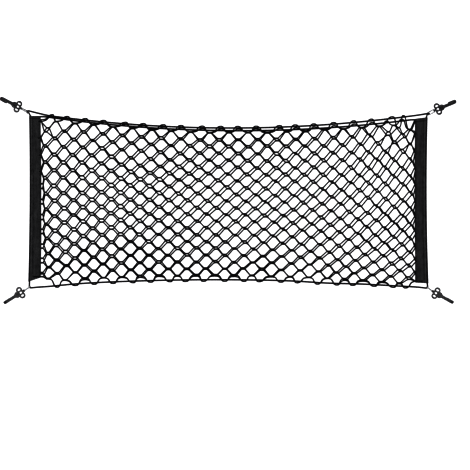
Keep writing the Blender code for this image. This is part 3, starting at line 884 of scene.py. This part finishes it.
def make_clip(corner):
    cord_bar, hook_bar, _, width, _ = clip_frame(corner)
    length = (hook_bar - cord_bar).normalized()
    half = (hook_bar - cord_bar).length / 2
    middle = (hook_bar + cord_bar) / 2
    seam = middle - width * CLIP_HALF_WIDTH
    route = [seam + length * CLIP_SEAM]
    for sign_l, sign_w, start in ((1, -1, 270), (1, 1, 0), (-1, 1, 90), (-1, -1, 180)):
        corner_l, corner_w = sign_l * (half - CLIP_CORNER), sign_w * (CLIP_HALF_WIDTH - CLIP_CORNER)
        for a, b in arc((corner_l, corner_w), CLIP_CORNER, start, start + 90, 6):
            route.append(middle + length * a + width * b)
    route.append(seam - length * CLIP_SEAM)
    return make_tubes("wire_clip_" + corner, [to_frame(route)], WIRE_RADIUS * MM, 4, STEEL)


clips = {corner: make_clip(corner) for corner in CORNERS}

# %% [markdown]
# ## The cords
# The edge cord is one closed round: along the top, round a clip's bar, down the right sleeve's
# fold, round the next clip and back. Its long runs lie on the yarn that passes under them.

# %% Edge cord and mouth cord
FOLD_MIDDLE_Z = 3.45  # height of the middle of a sleeve's fold
FOLD_CORD_INSET = 2.95  # of the cord's middle from the fold
CROOK_REACH, CROOK_SIDE, CROOK_LEAD = 3.2, 2.9, 0.5
CORD_REST_Z = 1.9  # beside the clips the cord lies on the floor
CORD_DROP = (418, 440)  # from where to where it comes down to it
RUN_INSET = 18.0  # a long run ends this far before its clip
RUN_POINTS = 33
MOUTH_END_X = 445.0
MOUTH_POINTS = 41
MOUTH_TURN = (416, 436)  # from where to where the mouth cord turns into the top hems
MOUTH_SLEEVE_Z = 3.85
CORD_STEP = 5.0  # between the rings of a cord
TOP_HEM_INSET = 2.6  # of the mouth cord's middle from the sleeves' top


def crook_points(corner):
    bar, _, length, _, normal = clip_frame(corner)
    lead = bar + length * CROOK_LEAD
    return [lead - normal * CROOK_SIDE, bar + length * CROOK_REACH, lead + normal * CROOK_SIDE]


def sleeve_run(side):
    """The edge cord's stretch in a sleeve's fold, from top to bottom."""
    fold = [sleeve_place(side, 0, 1 - k / 6) for k in range(7)]
    return [Vector((x - side * FOLD_CORD_INSET, y, FOLD_MIDDLE_Z)) for x, y in fold]


def long_run(edge, start, end):
    run = []
    for k in range(RUN_POINTS):
        x = start + (end - start) * k / (RUN_POINTS - 1)
        lift = 1 - ease(abs(x), *CORD_DROP)
        run.append(Vector((x, edge(x), CORD_REST_Z + (EDGE_CORD_Z - CORD_REST_Z) * lift)))
    return run


def make_edge_cord():
    reach = HALF_SPAN - RUN_INSET
    points = long_run(edge_top_y, -reach, reach)
    points += crook_points("upper_right") + sleeve_run(1)
    points += crook_points("lower_right")[::-1]
    points += long_run(edge_bottom_y, reach, -reach)
    points += crook_points("lower_left") + sleeve_run(-1)[::-1] + crook_points("upper_left")[::-1]
    route = to_frame(smooth_route(points, CORD_STEP, cyclic=True))
    print("the edge cord is", round(route_length(route + route[:1]), 2), "m round")
    return make_tubes("elastic_edge_cord", [route], CORD_RADIUS * MM, 4, CORD, cyclic=True)


def make_mouth_cord():
    points = []
    for k in range(MOUTH_POINTS):
        x = MOUTH_END_X * (2 * k / (MOUTH_POINTS - 1) - 1)
        sink = ease(abs(x), LEVEL_START, LEVEL_END)
        hem_y = SLEEVE_ENDS[-1 if x < 0 else 1][1] - TOP_HEM_INSET
        y = mouth_y(x) + (hem_y - mouth_y(x)) * ease(abs(x), *MOUTH_TURN)
        points.append(Vector((x, y, MOUTH_CORD_Z + (MOUTH_SLEEVE_Z - MOUTH_CORD_Z) * sink)))
    route = to_frame(smooth_route(points, CORD_STEP))
    return make_tubes("elastic_mouth_cord", [route], CORD_RADIUS * MM, 4, CORD)


edge_cord = make_edge_cord()
mouth_cord = make_mouth_cord()

# %% [markdown]
# ## The sleeves
# A sleeve is one strip of cloth folded over the net's ends. From the fold, its upper leaf wraps
# the cord, dips to the channel's stitches, lies over the yarn's ends and ends in a hem. The strip
# is a grid bent into that section, and Solidify gives it the cloth's thickness.

# %% The sleeve's section
CLOTH_THICK = 0.9
SLEEVE_WIDTH = 26.1  # from the fold to the inner edge
FOLD_RADIUS = 2.95
LOWER_LEAF = (26.0, 2.25, 10)  # inset of its inner edge, step towards the fold, points
LEAF_LOW_Z = 0.5
SEAM_INSET = 7.9  # the channel's stitches, from the fold
HEM_INSET = 22.6  # the hem's stitches
SLEEVE_STEPS = 96
END_MIDDLE_Z = 3.6  # the two leaves meet at this height at the top end
END_REACH = 3.4  # and start to close this far from it
#   inset from the fold, height of the cloth's middle
UPPER_SECTION = (
    (4.4, 6.55), (5.6, 6.45), (6.7, 6.1), (7.4, 5.45), (7.9, 5.15), (8.4, 5.45), (9.4, 6.1),
    (11.0, 6.5), (13.0, 6.6), (15.0, 6.62), (17.0, 6.62), (19.0, 6.65), (21.0, 6.7),
    (22.0, 6.5), (22.6, 6.1), (23.2, 6.45), (24.2, 6.8), (25.2, 6.7), (25.9, 6.3),
)


def sleeve_section():
    """The folded strip in section, from the lower leaf's inner edge to the upper leaf's."""
    edge, step, count = LOWER_LEAF
    section = [(edge - k * step, LEAF_LOW_Z) for k in range(count)]
    section += arc((FOLD_RADIUS + 0.5, FOLD_MIDDLE_Z), FOLD_RADIUS, 270, 90, 12)
    return section + list(UPPER_SECTION)


def sleeve_crease(inset, y, phase):
    """Soft ridges and troughs of the upper leaf, in mm."""
    slow = 0.28 * sin(y / 31 + phase) + 0.2 * sin(y / 13.7 + inset / 5 + 2 * phase)
    over_yarn = 0.18 * cos(2 * pi * y / 16.8)
    streak = 0.22 * sin(inset * 1.9 + 0.6 * sin(y / 45))
    fade = ease(inset, 8.5, 12.0) * (1 - ease(inset, 21.0, 22.5))
    return (slow + over_yarn + streak) * fade


def sleeve_end_height(side, inset, z, y):
    """Close the sleeve's ends: the cloth comes down over the mouth cord, and flattens below."""
    across = min(inset / LOWER_LEAF[0], 1.0)
    from_top = sleeve_place(side, across, 1)[1] - y
    from_low = y - sleeve_place(side, across, 0)[1]
    inside = ease(inset, 7.0, 9.5)
    upper = z > END_MIDDLE_Z
    if from_top < END_REACH:
        share = sqrt(max(0.0, 1 - (1 - from_top / END_REACH) ** 2))
        closed = END_MIDDLE_Z + (0.5 if upper else -0.5)
        z += inside * (closed + (z - closed) * share - z)
    if upper:  # a trough along the top hem's seam, and gathers at the low end
        z -= 0.9 * inside * exp(-((from_top - 7.6) / 1.0) ** 2)
        z += 0.35 * inside * exp(-((from_top - 4.0) / 2.0) ** 2)
        low_share = inside * (1 - ease(from_low, 1.0, 13.0))
        z += low_share * (0.45 * sin(0.9 * inset + 0.5 * from_low) - 1.5)
    return z


def make_sleeve(side, name):
    section = sleeve_section()
    last = len(section) - 1
    bpy.ops.mesh.primitive_grid_add(x_subdivisions=last, y_subdivisions=SLEEVE_STEPS, size=1)
    sleeve = bpy.context.object
    sleeve.name = sleeve.data.name = name
    run = [0.0]
    for (a, b), (c, d) in zip(section, section[1:]):
        run.append(run[-1] + hypot(c - a, d - b))
    length = SLEEVE_ENDS[side][0] - SLEEVE_ENDS[side][2]
    cut_places = []  # where each point lies in the flat strip, in metres
    for vertex in sleeve.data.vertices:
        station = round((vertex.co.x + 0.5) * last)
        along = vertex.co.y + 0.5
        cut_places.append((run[station] * MM, along * length * MM))
        inset, z = section[station]
        x, y = sleeve_place(side, inset / SLEEVE_WIDTH, along)
        if station > last - len(UPPER_SECTION):
            z += sleeve_crease(inset, y, 1.3 * side)
        z = sleeve_end_height(side, inset, z, y)
        x += 0.25 * sin(y / 23 + side) * ease(inset, 20, 26)
        vertex.co = place(x, y, z)
    for face in sleeve.data.polygons:
        for loop, vertex in zip(face.loop_indices, face.vertices):
            sleeve.data.uv_layers.active.data[loop].uv = cut_places[vertex]
    recalculate_normals(sleeve)
    shell = sleeve.modifiers.new("cloth", "SOLIDIFY")
    shell.thickness = CLOTH_THICK * MM
    shell.offset = 0
    smooth = sleeve.modifiers.new("smooth", "SUBSURF")
    smooth.levels = smooth.render_levels = 1
    apply_modifiers(sleeve)
    recalculate_normals(sleeve)
    bpy.ops.object.shade_smooth()
    sleeve.data.materials.append(CLOTH)
    print(name, "is cut", round(run[-1], 1), "by", round(length, 1), "mm")
    return sleeve, run[-1] * MM, length * MM


SIDES = {"left": -1, "right": 1}
sleeves = {name: make_sleeve(side, "sleeve_" + name + "_cloth") for name, side in SIDES.items()}

# %% [markdown]
# ## The stitches
# Two rows of lockstitch hold a sleeve: one makes the cord's channel and one sews the hem. A stitch
# is a short bead of thread that dips into the cloth at both ends.

# %% Stitches
STITCH_LENGTH, STITCH_PITCH, STITCH_RADIUS = 2.6, 3.9, 0.24
STITCH_ROWS = ((SEAM_INSET, 5.77), (HEM_INSET, 6.72))  # (inset, height of the thread)
STITCHES_IN_ROW = 95
ROW_START, ROW_SPAN = 0.025, 0.955  # shares of the sleeve's length


def stitch_route(start, end, height):
    middle = (start + end) / 2
    sink = Vector((0, 0, height - 0.35))
    rise = Vector((0, 0, height))
    return [start + sink, start.lerp(middle, 0.4) + rise, start.lerp(end, 0.8) + rise, end + sink]


def make_stitches(side, name):
    routes = []
    for inset, height in STITCH_ROWS:
        for k in range(STITCHES_IN_ROW):
            steps = (k, k + STITCH_LENGTH / STITCH_PITCH)
            shares = [ROW_START + ROW_SPAN * step / STITCHES_IN_ROW for step in steps]
            ends = [sleeve_place(side, inset / SLEEVE_WIDTH, along) for along in shares]
            routes.append(to_frame(stitch_route(*[Vector((*end, 0)) for end in ends], height)))
    return make_tubes(name, routes, STITCH_RADIUS * MM, 0, THREAD)


stitches = {name: make_stitches(side, "sleeve_" + name + "_stitches") for name, side in SIDES.items()}

# %% [markdown]
# ## The hooks
# The four hooks come out of one mould: a boss, a flat head with an eye and two side rings, a
# shoulder, and a shank that turns back on itself. The head and the shank's side view are plates
# with a rounded edge, joined by a Boolean. Each corner gets a copy, turned as in the photo, and
# its boss is set along its own clip's bar.

# %% The hook's outlines
BOSS_RADIUS, BOSS_HALF_LENGTH, BOSS_BORE = 2.9, 2.1, 1.15
NECK_HALF = 1.6
HEAD_THICK = 3.6
EYE_X, EYE_RADIUS = 8.8, 2.6
LOBE_Y, LOBE_RADIUS = 7.3, 6.9
SLOT_Y, SLOT_HALF_LENGTH, SLOT_HALF_WIDTH = 7.7, 3.7, 2.3
SHOULDER_X, SHOULDER_RADIUS, SHOULDER_END_X = 18.0, 7.0, 25.6
SHANK_START_X, SHANK_HALF, SHANK_THICK = 24.0, 3.4, 4.0
HOOK_GAP, LEG_THICK = 8.5, 3.5
BEND_END_X, LEG_END_X = 54.0, 34.0
#   the rounded end of the leg: inset and rise from its lower corner
LEG_END = ((1.5, 0), (0.4, 0.5), (0, 1.4), (0, 2.5), (0.4, 3.2), (1.2, 3.5))
HEAD_EDGE, SHANK_EDGE = 0.9, 0.8  # rounding of their edges


def head_outline():
    lobe = (EYE_X, LOBE_Y)
    half = [(0.0, NECK_HALF), (EYE_X - LOBE_RADIUS, NECK_HALF)]
    half += arc(lobe, LOBE_RADIUS, 205, -6, 22)
    half += arc((SHOULDER_X, 0), SHOULDER_RADIUS, 107.5, 38, 9)
    half += [(SHOULDER_END_X, SHANK_HALF - 0.2)]
    return half + [(x, -y) for x, y in reversed(half)]


def eye_outline():
    """A teardrop: round towards the shank, drawn out towards the boss."""
    points = arc((EYE_X + 0.3, 0), EYE_RADIUS, -125, 125, 18)
    return points + [(EYE_X - EYE_RADIUS - 1.0, 0.35), (EYE_X - EYE_RADIUS - 1.0, -0.35)]


def slot_outline(side):
    reach = SLOT_HALF_LENGTH - SLOT_HALF_WIDTH
    left = arc((EYE_X - reach, SLOT_Y), SLOT_HALF_WIDTH, 270, 90, 8)
    right = arc((EYE_X + reach, SLOT_Y), SLOT_HALF_WIDTH, 90, -90, 8)
    return [(x, side * y) for x, y in left + right]


def bend_outline():
    top = SHANK_THICK / 2
    bottom = -SHANK_THICK / 2 - HOOK_GAP - LEG_THICK
    outer = (top - bottom) / 2
    inner = HOOK_GAP / 2
    loop = [(SHANK_START_X, top)]
    loop += arc((BEND_END_X - outer, (top + bottom) / 2), outer, 90, -90, 28)
    loop += [(LEG_END_X + inset, bottom + rise) for inset, rise in LEG_END]
    loop += arc((BEND_END_X - outer, -SHANK_THICK / 2 - inner), inner, -90, 90, 18)
    loop += [(SHANK_START_X, -SHANK_THICK / 2)]
    return loop


# %% Flat plates with rounded edges
def make_plate(name, loops, thick, edge):
    """A plate about Z = 0 of the first loop, with the other loops as holes; sizes in mm."""
    routes = [[(x * MM, y * MM, 0) for x, y in loop] for loop in loops]
    plate = new_curve(name, "2D", edge * MM, 2, routes, True)
    plate.data.fill_mode = "BOTH"
    plate.data.extrude = (thick / 2 - edge) * MM
    plate.data.offset = -edge * MM
    plate = make_mesh(plate)
    recalculate_normals(plate, merge=0.000005)
    return plate


def cut(obj, tool, operation):
    step = obj.modifiers.new(operation.lower(), "BOOLEAN")
    step.operation = operation
    step.object = tool
    apply_modifiers(obj)
    bpy.data.objects.remove(tool, do_unlink=True)


# %% One hook
TIP_ROUNDING = 2.9
RIB_COUNT, RIB_PITCH, FIRST_RIB_X, POCKET_LENGTH = 6, 3.7, 27.4, 2.5
POCKET_HALF, POCKET_DEEP = 1.8, 0.9


def tip_plan():
    """The bend's outline from above: straight sides and a rounded tip."""
    half = arc((BEND_END_X - TIP_ROUNDING, SHANK_HALF - TIP_ROUNDING), TIP_ROUNDING, 90, 0, 8)
    half = [(SHANK_START_X - 1.0, SHANK_HALF)] + half
    return half + [(x, -y) for x, y in reversed(half)]


def rib_pockets():
    corners = ((0.0, -1), (POCKET_LENGTH, -1), (POCKET_LENGTH, 1), (0.0, 1))
    starts = [FIRST_RIB_X + k * RIB_PITCH for k in range(RIB_COUNT)]
    return [[(x + a, b * POCKET_HALF) for a, b in corners] for x in starts]


def make_hook_model():
    head = [head_outline(), eye_outline(), slot_outline(1), slot_outline(-1)]
    hook = make_plate("hook_model", head, HEAD_THICK, HEAD_EDGE)
    bend = make_plate("hook_bend", [bend_outline()], 2 * SHANK_HALF, SHANK_EDGE)
    bend.rotation_euler = (radians(90), 0, 0)
    settle(bend)
    cut(bend, make_plate("tip_plan", [tip_plan()], 60, 0.05), "INTERSECT")
    cut(hook, bend, "UNION")
    pockets = make_plate("pockets", rib_pockets(), 2 * POCKET_DEEP, 0.25)
    pockets.location.z = SHANK_THICK / 2 * MM
    settle(pockets)
    cut(hook, pockets, "DIFFERENCE")
    return hook


hook_model = make_hook_model()
print("one hook:", triangles(hook_model), "triangles")


# %% The four hooks
def make_hook(corner):
    x, y, _, hook_yaw, _, hook_roll, hook_z = CORNERS[corner]
    turned = Matrix.Translation(place(x, y, hook_z))
    for degrees, axis in ((hook_yaw, "Z"), (-HOOK_TILT, "Y"), (hook_roll, "X")):
        turned = turned @ Matrix.Rotation(radians(degrees), 4, axis)
    hook = hook_model.copy()
    hook.data = hook_model.data.copy()
    hook.name = hook.data.name = "moulded_hook_" + corner
    scene.collection.objects.link(hook)
    hook.matrix_world = turned
    settle(hook)
    _, bar, _, width, _ = clip_frame(corner)
    pose = {"location": place(*bar), "rotation": width.to_track_quat("Z", "Y").to_euler()}
    bpy.ops.mesh.primitive_uv_sphere_add(segments=32, ring_count=20, radius=BOSS_RADIUS * MM, **pose)
    bpy.context.object.scale.z = BOSS_HALF_LENGTH / BOSS_RADIUS
    settle(bpy.context.object)
    cut(hook, bpy.context.object, "UNION")
    long = 4 * BOSS_RADIUS * MM
    bpy.ops.mesh.primitive_cylinder_add(vertices=24, radius=BOSS_BORE * MM, depth=long, **pose)
    settle(bpy.context.object)
    cut(hook, bpy.context.object, "DIFFERENCE")
    bpy.ops.object.shade_smooth_by_angle(angle=radians(32))
    hook.data.materials.append(PLASTIC)
    return hook


hooks = {corner: make_hook(corner) for corner in CORNERS}
bpy.data.objects.remove(hook_model, do_unlink=True)
print("hooks:", sorted(hook.name for hook in hooks.values()))

# %% [markdown]
# ## The pieces on one body
# The net has no hinge, so every piece rides on the one body, and the solid that each piece replaces
# is hidden.

# %% Pieces on the body
def register(piece, slot_name, *nodes):
    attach(piece, "root")
    if nodes:
        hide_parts(*nodes)


for layer, net in nets.items():
    register(net, "net_yarn", "net_" + layer)
    register(ties[layer], "net_yarn")
register(edge_cord, "elastic_cord", "edge_cord")
register(mouth_cord, "elastic_cord", "mouth_cord")
for side, (cloth, width, length) in sleeves.items():
    register(cloth, "sleeve_cloth", "sleeve_" + side)
    register(stitches[side], "sleeve_cloth")
for corner in CORNERS:
    register(clips[corner], "clip_steel", "clip_" + corner)
    register(hooks[corner], "hook_plastic", "hook_" + corner)
